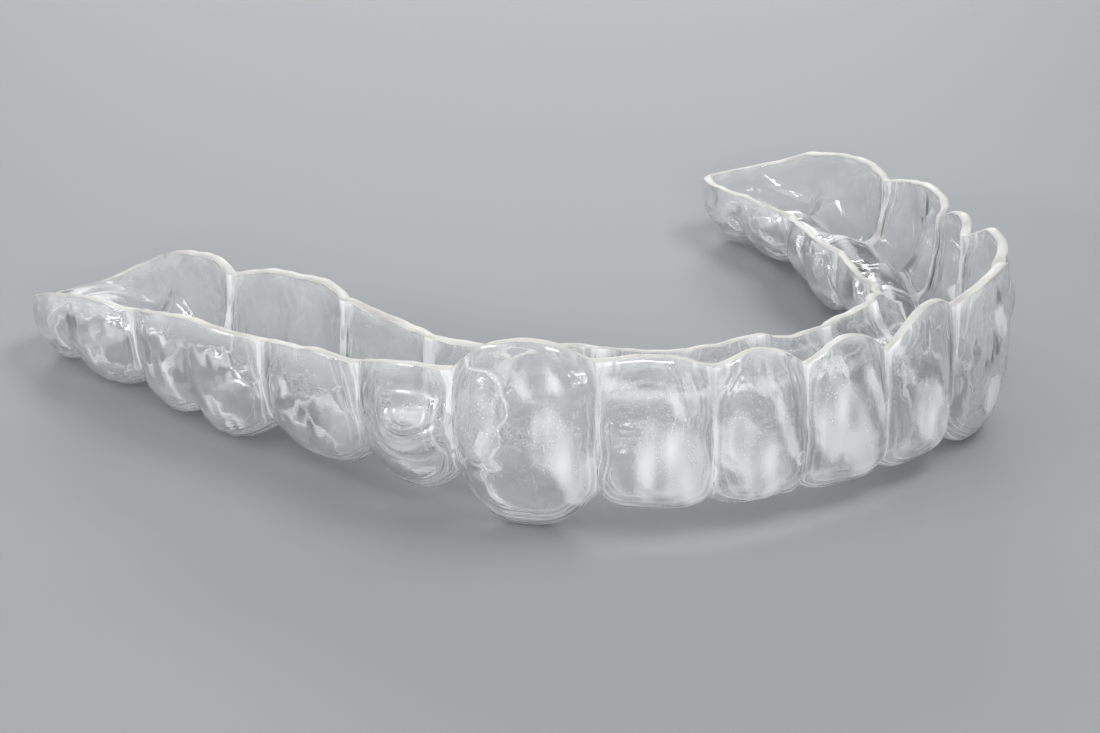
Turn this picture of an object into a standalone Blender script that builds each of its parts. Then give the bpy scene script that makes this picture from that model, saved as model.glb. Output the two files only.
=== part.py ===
"""Clear aligner for a lower dental arch: one thermoformed sheet with fourteen crown-shaped wells.

It is modelled the way it is made. A sheet is drawn down over the crowns (the loft of cross-sections along the
arch), it has one thickness all over (the solidify step), and its gum edge is trimmed to a scalloped line.
It lies as on a table: biting side down on the cusp tips, gum edge up.

Frame: metres, +Z up, +Y towards the molars, origin under the middle of the footprint on the table.
Sizes below are in millimetres unless a comment says otherwise.
"""

import math
from dataclasses import dataclass

import bmesh
import bpy
import numpy as np

MM = 0.001  # metres in one millimetre

# The sheet
WALL = 0.65  # thickness after forming
FOLD_RADIUS = 0.40  # roundness of the folds between neighbouring crowns

# The arch line, which runs along the middle of the crowns, from the midline back on each side: (across, back).
# A mouth is never quite even: the right arm curves in more at its end.
FRONT = (0.0, 0.0)
LEFT_ARCH = ((-5.3, 0.5), (-10.4, 2.7), (-15.2, 7.2), (-18.3, 13.2), (-21.0, 20.0), (-24.6, 30.3), (-28.4, 43.5))
RIGHT_ARCH = ((5.3, 0.5), (10.9, 2.6), (16.2, 7.0), (18.6, 13.2), (21.0, 20.0), (23.9, 30.3), (23.6, 43.5))


@dataclass(frozen=True)
class Form:
    """The cross-section of one kind of crown, in thirteen rows from the cheek-side trim to the tongue-side trim."""

    cheek: float  # arch line to the cheek wall
    tongue: float  # arch line to the tongue wall
    across: tuple  # place of each row, as a share of cheek (+) or tongue (-)
    rise: tuple  # height of the seven biting rows over the lowest cusp
    pinch: float  # how far the walls draw in at a contact
    notch: float  # how far the biting side lifts at a contact
    relief: float  # share of the biting relief that is left at a contact
    plan_power: float  # how square the crown is from above
    side_power: float  # how square the crown is from the side
    groove: float = 0.0  # depth of the groove between two cusps
    groove_place: float = 0.0  # how far behind the middle it lies, as a share of half the crown's length
    groove_width: float = 1.5  # half width of that groove


INCISOR = Form(
    cheek=3.0,
    tongue=3.2,
    across=(0.76, 0.92, 1.0, 0.98, 0.82, 0.60, 0.38, 0.12, -0.14, -0.42, -0.72, -0.93, -1.0),
    rise=(1.1, 0.25, 0.0, 0.25, 1.2, 2.8, 4.6),
    pinch=0.75,
    notch=0.3,
    relief=0.95,
    plan_power=4.5,
    side_power=7.0,
)
CANINE = Form(
    cheek=3.8,
    tongue=3.8,
    across=(0.88, 0.99, 1.0, 0.88, 0.68, 0.50, 0.28, -0.02, -0.32, -0.58, -0.82, -0.97, -1.0),
    rise=(1.3, 0.2, 0.0, 0.45, 1.6, 3.0, 4.8),
    pinch=1.2,
    notch=2.3,
    relief=0.75,
    plan_power=3.2,
    side_power=2.6,
)
PREMOLAR = Form(
    cheek=3.9,
    tongue=3.9,
    across=(0.90, 1.0, 0.98, 0.82, 0.48, 0.18, -0.08, -0.32, -0.58, -0.84, -0.98, -1.0, -0.93),
    rise=(1.3, 0.0, 0.8, 1.5, 1.3, 1.0, 2.2),
    pinch=1.2,
    notch=1.4,
    relief=0.5,
    plan_power=3.2,
    side_power=2.8,
)
MOLAR = Form(
    cheek=4.7,
    tongue=4.7,
    across=(0.93, 1.0, 0.99, 0.89, 0.63, 0.30, 0.0, -0.30, -0.61, -0.87, -0.98, -1.0, -0.95),
    rise=(1.1, 0.0, 0.9, 1.6, 0.9, 0.2, 1.2),
    pinch=1.2,
    notch=1.5,
    relief=0.45,
    plan_power=4.2,
    side_power=4.0,
    groove=0.8,
    groove_place=0.08,
)


@dataclass(frozen=True)
class Crown:
    """One well of the sheet."""

    name: str
    form: Form
    length: float  # along the arch, contact to contact
    tip: float  # lowest cusp or edge over the table


# From the midline back
LEFT_CROWNS = (
    Crown("left_central_incisor", INCISOR, 5.1, 1.1),
    Crown("left_lateral_incisor", INCISOR, 5.6, 1.2),
    Crown("left_canine", CANINE, 7.2, 0.0),
    Crown("left_first_premolar", PREMOLAR, 5.9, 0.8),
    Crown("left_second_premolar", PREMOLAR, 7.6, 0.4),
    Crown("left_first_molar", MOLAR, 11.7, 0.0),
    Crown("left_second_molar", MOLAR, 13.4, 0.0),
)
RIGHT_CROWNS = (
    Crown("right_central_incisor", INCISOR, 5.3, 1.0),
    Crown("right_lateral_incisor", INCISOR, 5.5, 0.9),
    Crown("right_canine", CANINE, 7.2, 0.0),
    Crown("right_first_premolar", PREMOLAR, 6.8, 0.4),
    Crown("right_second_premolar", PREMOLAR, 7.2, 0.2),
    Crown("right_first_molar", MOLAR, 11.0, 0.0),
    Crown("right_second_molar", MOLAR, 14.2, 0.0),
)


@dataclass(frozen=True)
class TrimLine:
    """One cut edge of the sheet on one side of the arch, from the midline back."""

    dips: tuple  # height at the midline, at the six contacts behind it and at the back end
    bows: tuple  # how far the edge bows up over each of the seven crowns


LEFT_CHEEK = TrimLine(dips=(8.4, 9.1, 9.7, 8.6, 7.5, 6.9, 5.8, 2.6), bows=(1.1, 0.6, 1.9, 0.4, 0.3, 0.7, 1.0))
LEFT_TONGUE = TrimLine(dips=(8.5, 8.2, 8.4, 7.2, 7.2, 7.6, 6.4, 2.6), bows=(-0.2, -0.2, 0.2, 0.0, -0.2, 0.5, 1.5))
RIGHT_CHEEK = TrimLine(dips=(8.4, 8.0, 9.3, 9.0, 8.4, 7.3, 6.3, 3.6), bows=(1.5, 1.4, 1.3, 1.0, 0.9, 0.8, 1.1))
RIGHT_TONGUE = TrimLine(dips=(8.5, 8.1, 8.3, 6.2, 5.3, 5.1, 4.4, 3.6), bows=(-0.5, -0.1, 0.4, 0.2, 0.3, 0.3, 0.3))


@dataclass(frozen=True)
class Attachment:
    """A raised pad on the cheek wall, formed over a button of resin that is bonded to the tooth."""

    side: int  # -1 on the left, 1 on the right
    number: int  # crown, counted back from the midline
    place: float  # where on the crown, from -1 at its front contact to 1 at its back one
    height: float  # middle of the pad over the lowest cusp
    length: float  # along the arch
    tall: float
    proud: float  # how far it stands out


ATTACHMENTS = (
    Attachment(side=-1, number=2, place=0.52, height=6.2, length=2.2, tall=4.6, proud=0.5),
    Attachment(side=-1, number=3, place=-0.4, height=5.1, length=3.0, tall=2.8, proud=0.75),
    Attachment(side=1, number=3, place=0.0, height=5.6, length=3.0, tall=2.6, proud=0.45),
)
PAD_POWER = 2.6  # how square a pad's outline is
PAD_EDGE = 0.9  # share of a pad's half size over which it falls to the wall

BOW_POWER = 2.2  # how the bow of the trim falls off from the middle of a crown to its contacts

# Heights of the wall rows, as shares of the way from the biting shoulder up to the trim
WALL_SHARES = (1.0, 0.60, 0.25)

# How far each row shares in the pinch at a contact: less towards the gum edge, where gum fills the gaps
PINCH_SHARES = (0.6, 0.85, 1.0, 1.0, 1.0, 1.0, 1.0, 1.0, 1.0, 1.0, 1.0, 0.85, 0.6)

# How a groove between cusps shapes the section, as shares of its depth: how far it lifts the seven biting rows,
# and how far it draws the thirteen rows in
GROOVE_LIFT = (1.0, 1.0, 1.0, 0.0, 1.0, 1.0, 1.0)
GROOVE_DRAW = (0.0, 0.25, 0.5, 0.6, 0.3, 0.0, 0.0, 0.0, 0.3, 0.6, 0.5, 0.25, 0.0)

# The back end of the last well, where the sheet flares out to a heel
END_POWER = 2.8  # how square it is from above
END_SIDE_POWER = 5.0  # how square it is from the side
END_INSET_POWER = 2.5  # how late the rows start to fall short of the end
END_RISE = (2.0, 1.6, 1.35, 1.25, 1.35, 1.6, 2.0)  # heights of the biting rows there over the lowest cusp
END_INSET = (0.0, 0.35, 0.7, 1.05, 1.4, 1.7, 1.9, 1.7, 1.4, 1.05, 0.7, 0.35, 0.0)  # how far short of it each row ends

# Fineness of the mesh
BEND_ROWS = (2, 2, 2, 1, 1, 1, 1, 1, 1, 2, 2, 2)  # mesh rows from each row of the section to the next
COLUMN_PITCH = 0.76  # aimed distance between mesh columns
COLUMN_SPREAD = 1.35  # more than 1 crowds the columns towards the folds
END_COLUMNS = 9  # mesh columns round the back end
ARCH_STEPS = 1600  # steps along the arch line from which points on it are read off

ROWS = 13
BITE = slice(3, 10)  # the seven biting rows among the thirteen


def arch_line(left, front, right):
    """Returns a function from distance along the arch, 0 at its front, to the point and the outward direction."""
    knots = np.array([*reversed(left), front, *right])
    at = np.concatenate([[0.0], np.cumsum(np.linalg.norm(np.diff(knots, axis=0), axis=1))])
    count = len(at)
    gap = np.diff(at)
    # natural cubic spline: the second derivatives at the knots
    system = np.eye(count)
    bend = np.zeros((count, 2))
    for i in range(1, count - 1):
        system[i, i - 1 : i + 2] = gap[i - 1], 2.0 * (gap[i - 1] + gap[i]), gap[i]
        bend[i] = 6.0 * ((knots[i + 1] - knots[i]) / gap[i] - (knots[i] - knots[i - 1]) / gap[i - 1])
    second = np.linalg.solve(system, bend)

    fine = np.linspace(0.0, at[-1], ARCH_STEPS + 1)
    cell = np.clip(np.searchsorted(at, fine, side="right") - 1, 0, count - 2)
    low = ((at[cell + 1] - fine) / gap[cell])[:, None]
    high = 1.0 - low
    reach = (gap[cell] ** 2 / 6.0)[:, None]
    path = low * knots[cell] + high * knots[cell + 1]
    path = path + ((low**3 - low) * second[cell] + (high**3 - high) * second[cell + 1]) * reach
    run = np.concatenate([[0.0], np.cumsum(np.linalg.norm(np.diff(path, axis=0), axis=1))])
    run = run - np.interp(at[len(left)], fine, run)
    heading = np.gradient(path, run, axis=0)
    heading = heading / np.linalg.norm(heading, axis=1, keepdims=True)

    def place(along):
        """Point and outward direction at each distance; past its ends the line runs straight on."""
        inside = np.clip(along, run[0], run[-1])
        over = (along - inside)[..., None]
        point = np.stack([np.interp(inside, run, path[:, axis]) for axis in (0, 1)], axis=-1)
        ahead = np.stack([np.interp(inside, run, heading[:, axis]) for axis in (0, 1)], axis=-1)
        ahead = ahead / np.linalg.norm(ahead, axis=-1, keepdims=True)
        outward = np.stack([ahead[..., 1], -ahead[..., 0]], axis=-1)
        return point + ahead * over, outward

    return place


def trim_height(line, number, place, soft):
    """Height of a cut edge over crown number, counted back from the midline; place runs back over it from -1 to 1."""
    dip = line.dips[number] + (line.dips[number + 1] - line.dips[number]) * (place + 1.0) / 2.0
    return dip + line.bows[number] * (1.0 - soft**BOW_POWER)


def across_of(form, pinch=0.0):
    """Distance of each row from the arch line, positive to the cheek."""
    share = np.array(form.across)
    half = np.where(share > 0.0, form.cheek, form.tongue) - pinch * np.array(PINCH_SHARES)
    return share * half


def fill_walls(height, cheek_trim, tongue_trim):
    """Sets the wall rows between the biting shoulders and the two cut edges."""
    for row, share in enumerate(WALL_SHARES):
        height[row] = height[3] + (cheek_trim - height[3]) * share
        height[-1 - row] = height[-4] + (tongue_trim - height[-4]) * share
    return height


def contact_section(first, second):
    """Across and biting heights of the section at the contact of two crowns."""
    across = np.zeros(ROWS)
    rise = np.zeros(7)
    lift = 0.0
    for crown in (first, second):
        form = crown.form
        across += across_of(form, form.pinch) / 2.0
        rise += (crown.tip + form.relief * np.array(form.rise)) / 2.0
        lift += form.notch / 2.0
    return across, rise + lift


def soft_share(distance, half):
    """1 at a contact and 0 in the middle of a crown, rounded where it meets the contact."""

    def rounded(value):
        return math.hypot(value, FOLD_RADIUS) - FOLD_RADIUS

    return 1.0 - rounded(distance) / rounded(half)


def crown_columns(number, side, start):
    """Sections of one crown, in order along the arch from left to right, each (along, across, height) by row.

    number counts the crowns back from the midline, and side is -1 on the left and 1 on the right.
    """
    crowns, others = (LEFT_CROWNS, RIGHT_CROWNS) if side < 0 else (RIGHT_CROWNS, LEFT_CROWNS)
    crown = crowns[number]
    mesial = crowns[number - 1] if number else others[0]
    distal = crowns[number + 1] if number + 1 < len(crowns) else None
    before, after = (distal, mesial) if side < 0 else (mesial, distal)
    half = crown.length / 2.0
    middle = start + half
    count = max(3, round(half / COLUMN_PITCH))
    shares = [(i / count) ** COLUMN_SPREAD for i in range(count + 1)]
    open_half = [1.0 - share for share in shares]
    end_half = [math.sin(math.pi / 2.0 * i / END_COLUMNS) ** (2.0 / END_POWER) for i in range(END_COLUMNS, -1, -1)]
    back = end_half if before is None else open_half
    ahead = end_half if after is None else open_half
    places = [-value for value in back] + list(reversed(ahead[:-1]))

    form = crown.form
    cheek_line, tongue_line = (LEFT_CHEEK, LEFT_TONGUE) if side < 0 else (RIGHT_CHEEK, RIGHT_TONGUE)
    sections = []
    for place in places:
        neighbour = before if place < 0 else after
        reach = abs(place)
        along = np.full(ROWS, middle + place * half)
        soft = reach if neighbour is None else soft_share((1.0 - reach) * half, half)
        cheek_trim = trim_height(cheek_line, number, place * side, soft)
        tongue_trim = trim_height(tongue_line, number, place * side, soft)

        across = across_of(form)
        rise = crown.tip + np.array(form.rise)
        # the groove between two cusps runs over the bite and up the walls
        behind = (place * side - form.groove_place) * half
        dent = form.groove * math.exp(-((behind / form.groove_width) ** 2))
        rise += dent * np.array(GROOVE_LIFT)
        across -= dent * np.array(GROOVE_DRAW) * np.sign(across)
        if neighbour is None:
            width = max(0.0, 1.0 - reach**END_POWER) ** (1.0 / END_POWER)
            across = across * width
            weight = reach**END_SIDE_POWER
            rise = rise * (1.0 - weight) + (crown.tip + np.array(END_RISE)) * weight
            mean = (cheek_trim + tongue_trim) / 2.0
            cheek_trim += (mean - cheek_trim) * weight
            tongue_trim += (mean - tongue_trim) * weight
            along -= side * reach**END_INSET_POWER * np.array(END_INSET)
        else:
            near_across, near_rise = contact_section(crown, neighbour)
            in_plan = soft**form.plan_power
            in_side = soft**form.side_power
            across = across * (1.0 - in_plan) + near_across * in_plan
            rise = rise * (1.0 - in_side) + near_rise * in_side
        height = np.zeros(ROWS)
        height[BITE] = rise
        sections.append(np.stack([along, across, fill_walls(height, cheek_trim, tongue_trim)], axis=-1))
    return sections


def bend_rows(sections):
    """Runs a smooth curve through the rows of each section and takes the mesh rows from it."""
    first = 2.0 * sections[:, :1] - sections[:, 1:2]
    last = 2.0 * sections[:, -1:] - sections[:, -2:-1]
    rows = np.concatenate([first, sections, last], axis=1)
    out = []
    for i, steps in enumerate(BEND_ROWS):
        before, here, ahead, beyond = (rows[:, i + k] for k in range(4))
        for j in range(steps):
            f = j / steps
            out.append(
                here
                + 0.5 * f * (ahead - before)
                + f**2 * (before - 2.5 * here + 2.0 * ahead - 0.5 * beyond)
                + f**3 * (1.5 * (here - ahead) + 0.5 * (beyond - before))
            )
    out.append(rows[:, -2])
    return np.stack(out, axis=1)


def raise_pads(mesh_rows):
    """Pushes the cheek wall out over each attachment."""
    cheek = slice(0, sum(BEND_ROWS) // 2)
    along = mesh_rows[:, cheek, 0]
    height = mesh_rows[:, cheek, 2]
    for pad in ATTACHMENTS:
        crowns = LEFT_CROWNS if pad.side < 0 else RIGHT_CROWNS
        front = sum(crown.length for crown in crowns[: pad.number])
        middle = pad.side * (front + crowns[pad.number].length * (pad.place + 1.0) / 2.0)
        span = np.abs((along - middle) / (pad.length / 2.0)) ** PAD_POWER
        rise = np.abs((height - pad.height) / (pad.tall / 2.0)) ** PAD_POWER
        fall = np.clip((1.0 + PAD_EDGE / 2.0 - (span + rise) ** (1.0 / PAD_POWER)) / PAD_EDGE, 0.0, 1.0)
        mesh_rows[:, cheek, 1] += pad.proud * fall**2 * (3.0 - 2.0 * fall)


def aligner_grid():
    """The middle surface of the sheet: an array of points, columns along the arch by rows from cheek to tongue."""
    left = [(number, -1, crown.length) for number, crown in enumerate(LEFT_CROWNS)]
    right = [(number, 1, crown.length) for number, crown in enumerate(RIGHT_CROWNS)]
    sections = []
    start = -sum(crown.length for crown in LEFT_CROWNS)
    for number, side, length in left[::-1] + right:
        columns = crown_columns(number, side, start)
        # the contact column is shared with the crown before
        sections += columns[1:] if sections else columns
        start += length
    mesh_rows = bend_rows(np.array(sections))
    raise_pads(mesh_rows)
    point, outward = arch_line(LEFT_ARCH, FRONT, RIGHT_ARCH)(mesh_rows[..., 0])
    plan = point + outward * mesh_rows[..., 1:2]
    return np.concatenate([plan, mesh_rows[..., 2:3]], axis=-1) * MM


def sheet_mesh(name, grid):
    """A mesh of quads from the grid, with the cheek and tongue halves of its two end columns sewn together."""
    columns, rows = grid.shape[:2]
    mesh = bpy.data.meshes.new(name)
    bm = bmesh.new()
    corners = {}
    for u in range(columns):
        closed = u in (0, columns - 1)
        for v in range(rows):
            twin = corners.get((u, rows - 1 - v)) if closed else None
            corners[u, v] = twin or bm.verts.new(grid[u, v])
    for u in range(columns - 1):
        for v in range(rows - 1):
            bm.faces.new((corners[u, v], corners[u, v + 1], corners[u + 1, v + 1], corners[u + 1, v]))
    for face in bm.faces:
        face.smooth = True
    bm.to_mesh(mesh)
    bm.free()
    return mesh


def clear_plastic():
    """Clear thermoforming sheet: colourless, glossy, and letting most of the light through."""
    material = bpy.data.materials.new("clear_thermoformed_sheet")
    material.use_nodes = True
    shader = material.node_tree.nodes["Principled BSDF"]
    shader.inputs["Base Color"].default_value = (0.80, 0.83, 0.84, 1.0)
    shader.inputs["Roughness"].default_value = 0.12
    shader.inputs["Metallic"].default_value = 0.0
    shader.inputs["IOR"].default_value = 1.57
    shader.inputs["Transmission Weight"].default_value = 0.85
    return material


def build_aligner():
    """Adds the aligner, centred on its footprint and resting on its lowest cusps."""
    grid = aligner_grid()
    aligner = bpy.data.objects.new("aligner_shell", sheet_mesh("aligner_shell", grid))
    bpy.context.scene.collection.objects.link(aligner)
    aligner.data.materials.append(clear_plastic())
    wall = aligner.modifiers.new("sheet_thickness", "SOLIDIFY")
    wall.thickness = WALL * MM
    wall.offset = 0.0
    wall.use_even_offset = True
    wall.use_quality_normals = True

    formed = aligner.evaluated_get(bpy.context.evaluated_depsgraph_get())
    corners = np.array([vertex.co for vertex in formed.data.vertices])
    low = corners.min(axis=0)
    high = corners.max(axis=0)
    aligner.location = (-(low[0] + high[0]) / 2.0, -(low[1] + high[1]) / 2.0, -low[2])
    return aligner


def main():
    for leftover in list(bpy.data.objects):
        bpy.data.objects.remove(leftover, do_unlink=True)
    build_aligner()


main()
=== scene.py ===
"""Looks of a clear dental aligner: one thermoformed sheet, its cut gum edge, and a plain studio round it.

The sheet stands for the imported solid. It is lofted from the same cross-sections, only finer, so that light
bends through its folds, cusps and pads as it does through the real one. Lengths are in millimetres unless a
name or a comment says otherwise.
"""

import logging
import math
from collections.abc import Sequence
from dataclasses import dataclass
from enum import Enum

import bpy
import numpy as np
from mathutils import Matrix, Vector


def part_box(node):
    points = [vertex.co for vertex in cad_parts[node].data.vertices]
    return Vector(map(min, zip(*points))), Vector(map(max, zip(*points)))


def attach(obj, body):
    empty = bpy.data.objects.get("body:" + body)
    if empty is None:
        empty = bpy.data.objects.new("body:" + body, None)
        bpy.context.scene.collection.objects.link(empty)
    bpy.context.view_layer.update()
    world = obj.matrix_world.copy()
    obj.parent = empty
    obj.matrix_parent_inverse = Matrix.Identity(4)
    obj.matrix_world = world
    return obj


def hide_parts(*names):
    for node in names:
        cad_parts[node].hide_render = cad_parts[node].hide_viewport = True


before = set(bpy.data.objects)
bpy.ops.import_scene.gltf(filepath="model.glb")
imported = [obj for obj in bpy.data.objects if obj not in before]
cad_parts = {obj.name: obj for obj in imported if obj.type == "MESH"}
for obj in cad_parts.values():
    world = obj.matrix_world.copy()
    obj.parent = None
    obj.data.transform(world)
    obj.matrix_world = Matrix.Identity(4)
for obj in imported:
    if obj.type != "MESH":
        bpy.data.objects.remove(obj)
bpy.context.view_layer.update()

LOG = logging.getLogger("aligner")
MM = 0.001  # metres in one millimetre
TINY = 1e-12  # keeps a division from being by nothing
NODE = "aligner_shell"
BODY = "root"

# what the sheet's mesh carries for its finish, point by point
FIELDS = ("inside", "cloud", "border", "rings", "arcs", "stretch", "rim", "crumple", "rub_highlight", "patch", "dust")

Tree = bpy.types.NodeTree
Socket = bpy.types.NodeSocket
Reads = dict[str, Socket]  # those fields and the place on the object, by name


class Side(Enum):
    """An arm of the arch, with the sign of its distances along it."""

    LEFT = -1
    RIGHT = 1


class Finish(Enum):
    """The two surfaces of the sheet, by material slot."""

    FORMED = 0
    CUT = 1


def linear(code: str) -> tuple[float, float, float, float]:
    """Turns an sRGB hex colour into the linear colour that a shader takes.

    Args:
        code: six hex digits, such as "e6e4dc".

    Returns:
        Linear red, green and blue, and an alpha of 1.
    """
    parts = [int(code[i : i + 2], 16) / 255.0 for i in (0, 2, 4)]
    # the numbers are those of the sRGB standard
    red, green, blue = (p / 12.92 if p <= 0.04045 else ((p + 0.055) / 1.055) ** 2.4 for p in parts)
    return red, green, blue, 1.0


def add_node(
    tree: Tree, kind: str, settings: dict | None = None, links: dict | None = None, out: str | int = 0
) -> Socket | None:
    """Adds a node, sets it up and links its inputs.

    Args:
        tree: the node tree of a material or the world.
        kind: Blender's name of the node type, without "ShaderNode".
        settings: values by name. A name of a property sets that; any other name or number sets an input.
        links: output sockets by the name or number of the input that they go to.
        out: name or number of the output that is wanted.

    Returns:
        That output, or None where the node has none.
    """
    node = tree.nodes.new("ShaderNode" + kind)
    for name, value in (settings or {}).items():
        if isinstance(name, str) and hasattr(node, name):
            setattr(node, name, value)
        else:
            node.inputs[name].default_value = value
    for name, socket in (links or {}).items():
        tree.links.new(socket, node.inputs[name])
    return node.outputs[out] if node.outputs else None


def new_material(name: str) -> tuple[bpy.types.Material, Tree]:
    """Makes an empty node material.

    Args:
        name: the material's name.

    Returns:
        The material and its node tree.
    """
    material = bpy.data.materials.new(name)
    material.use_nodes = True
    material.node_tree.nodes.clear()
    return material, material.node_tree


@dataclass(frozen=True)
class FormedPlastic:
    """Clear aligner sheet, thermoformed over a printed model of the teeth.

    To the eye it is colourless and glossy. It shows itself by its highlights, by the way it bends what is
    behind it, by the whitening of its folds and edges, where it was stretched most, and by the fine marks of
    something that is worn, brushed and rinsed. Painted highlights add white lines round each crown's border
    and white marks on the front crowns, laid as plastic whitened by rubbing. Its broader waves and creases
    are in the mesh.
    """

    colour: str = "fcfdfd"
    haze: float = 0.09  # share of light that the surface scatters
    haze_swing: float = 0.7  # share of it by which that falls and rises in clouds
    cloud_swing: float = 1.1  # height of the clouds at which it has done so
    haze_in_dust: float = 0.2  # share of it left where dust gathers, and the sheet itself is clearest
    fold_haze: float = 0.70  # what stretching adds in the sharpest folds
    rim_haze: float = 0.30  # what the trimming adds beside the cut edge
    line_highlight: float = 0.40  # painted highlight: what the fine lines along each crown's border add, standing for reflections off the sheet's inner face
    line_crest: float = 0.1  # height of their waves from which the painted highlight shows
    line_least: float = 0.3  # how strongly they show where they are faintest
    line_clouds: tuple[float, float] = (-1.0, 0.9)  # clouds in which they are faintest, and show fully
    rub_highlight_haze: float = 0.66  # what the white marks add: painted highlights on the front crowns, laid as plastic whitened by rubbing
    mist: float = 0.10  # what the rough patch adds inside
    mist_edge: tuple[float, float] = (-0.05, 0.25)  # how far in it begins, and is full
    outline_haze: float = 0.42  # what the patch adds along its ragged outline
    outline_edge: tuple[float, float] = (0.14, 0.02)  # how far off the outline that begins, and is full
    crease_haze: float = 0.20  # what the crumpled spots add
    scratch_haze: float = 0.14
    speck_haze: float = 0.75
    ior: float = 1.53  # a copolyester sheet
    roughness: float = 0.035
    dull_roughness: float = 0.42  # where it is whitest
    dull_range: tuple[float, float] = (0.28, 0.8)  # whiteness from which gloss goes, and at which it's gone
    layer: float = 0.16  # printed layers of the model on the inside; drawn coarser than a real 0.1 to show
    layer_depth: float = 0.0006
    ring: float = 0.62  # distance between the arcs under the premolar's pad
    ring_depth: float = 0.045
    line: float = 0.36  # distance between the fine lines that run round each crown's border
    line_depth: float = 0.016
    line_reach: float = 1.3  # where they have died out
    speck: float = 0.16  # distance between dust specks
    speck_size: float = 0.05  # drawn larger than fine dust to show
    speck_core: float = 0.4  # share of that size inside which one is brightest
    speck_chance: tuple[float, float] = (0.2, 0.8)  # chances up to which it's missing, and from which full
    scratch: float = 1.7  # distance between hairline scratches
    scratch_width: float = 0.03  # drawn wider than a real one to show
    scratch_turn: tuple[float, float, float] = (0.5, 0.3, 0.9)  # how they lie, in radians
    scratch_stretch: float = 0.2  # the smaller, the more drawn-out
    scratch_clouds: tuple[float, float] = (0.1, 0.8)  # clouds in which they begin to show, and show fully

    def material(self) -> bpy.types.Material:
        """Builds the finish.

        Returns:
            The material of the formed faces.
        """
        material, tree = new_material("clear_formed_plastic")
        reads = {"place": add_node(tree, "TexCoord", out="Object")}
        for name in FIELDS:
            reads[name] = add_node(tree, "Attribute", {"attribute_name": name}, out="Fac")
        lines = self._lines(tree, reads)
        white = self._white(tree, reads, lines)
        clear = add_node(tree, "Math", {"operation": "SUBTRACT", 0: 1.0, "use_clamp": True}, {1: white})
        begin, full = self.dull_range
        fade = {"From Min": begin, "From Max": full, "To Min": self.roughness, "To Max": self.dull_roughness}
        shader = add_node(
            tree,
            "BsdfPrincipled",
            {"Base Color": linear(self.colour), "IOR": self.ior, "Metallic": 0.0},
            {
                "Roughness": add_node(tree, "MapRange", fade, {"Value": white}),
                "Transmission Weight": clear,
                "Normal": self._relief(tree, reads, lines),
            },
        )
        add_node(tree, "OutputMaterial", links={"Surface": shader})
        return material

    def _lines(self, tree: Tree, reads: Reads) -> tuple[Socket, Socket]:
        """Draws the fine lines that run side by side round each crown's border: a fine relief, and painted
        highlights that stand for reflections off the sheet's inner face.

        Args:
            tree: the material's node tree.
            reads: what the finish reads, by name.

        Returns:
            The lines, from -1 to 1, and how strongly they show.
        """
        turn = add_node(
            tree,
            "Math",
            {"operation": "MULTIPLY_ADD", 1: 2.0 * math.pi / self.line, 2: math.pi},
            {0: reads["border"]},
        )
        wave = add_node(tree, "Math", {"operation": "COSINE"}, {0: turn})
        fall = {"interpolation_type": "SMOOTHSTEP", "From Min": self.line_reach, "From Max": self.line / 2.0}
        near = add_node(tree, "MapRange", fall, {"Value": reads["border"]})
        # they come and go with the clouds
        faintest, full = self.line_clouds
        fade = {"From Min": faintest, "From Max": full, "To Min": self.line_least}
        share = add_node(tree, "MapRange", fade, {"Value": reads["cloud"]})
        return wave, add_node(tree, "Math", {"operation": "MULTIPLY"}, {0: near, 1: share})

    def _relief(self, tree: Tree, reads: Reads, lines: tuple[Socket, Socket]) -> Socket:
        """Stacks the reliefs that are too fine for the mesh.

        Args:
            tree: the material's node tree.
            reads: what the finish reads, by name.
            lines: the border lines, and how strongly they show.

        Returns:
            The normal that the shader takes.
        """
        # a band of the wave texture is 2 pi / 20 of its unit long
        scale = 2.0 * math.pi / 20.0 / (self.layer * MM)
        bands = {"wave_type": "BANDS", "bands_direction": "Z", "Scale": scale}
        layers = add_node(tree, "TexWave", bands, {"Vector": reads["place"]}, "Fac")
        per_ring = 2.0 * math.pi / self.ring
        turn = add_node(tree, "Math", {"operation": "MULTIPLY", 1: per_ring}, {0: reads["rings"]})
        steps = add_node(tree, "Math", {"operation": "SINE"}, {0: turn})
        below = {}
        for depth, height, strength in (
            (self.layer_depth, layers, reads["inside"]),
            (self.ring_depth, steps, reads["arcs"]),
            (self.line_depth, *lines),
        ):
            links = {"Height": height, "Strength": strength, **below}
            below = {"Normal": add_node(tree, "Bump", {"Distance": depth * MM}, links)}
        return below["Normal"]

    def _white(self, tree: Tree, reads: Reads, lines: tuple[Socket, Socket]) -> Socket:
        """Adds up what whitens the sheet, with the painted highlights of the border lines and of the front
        crowns' marks.

        Args:
            tree: the material's node tree.
            reads: what the finish reads, by name.
            lines: the border lines, and how strongly they show.

        Returns:
            The share of light that is scattered.
        """
        parts = []
        for name, share in (
            ("stretch", self.fold_haze),
            ("rim", self.rim_haze),
            ("crumple", self.crease_haze),
            # painted highlights on the front crowns, laid as marks of rubbing
            ("rub_highlight", self.rub_highlight_haze),
        ):
            parts.append(add_node(tree, "Math", {"operation": "MULTIPLY", 1: share}, {0: reads[name]}))
        # painted highlights: the white crests of the fine border lines
        rise = {"From Min": self.line_crest, "To Max": self.line_highlight}
        crest = add_node(tree, "MapRange", rise, {"Value": lines[0]})
        parts.append(add_node(tree, "Math", {"operation": "MULTIPLY"}, {0: crest, 1: lines[1]}))
        parts += [*self._patch(tree, reads), self._scratches(tree, reads), self._dust(tree, reads)]
        total = self._clouds(tree, reads)
        for part in parts:
            total = add_node(tree, "Math", {"operation": "ADD", "use_clamp": True}, {0: total, 1: part})
        return total

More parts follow.
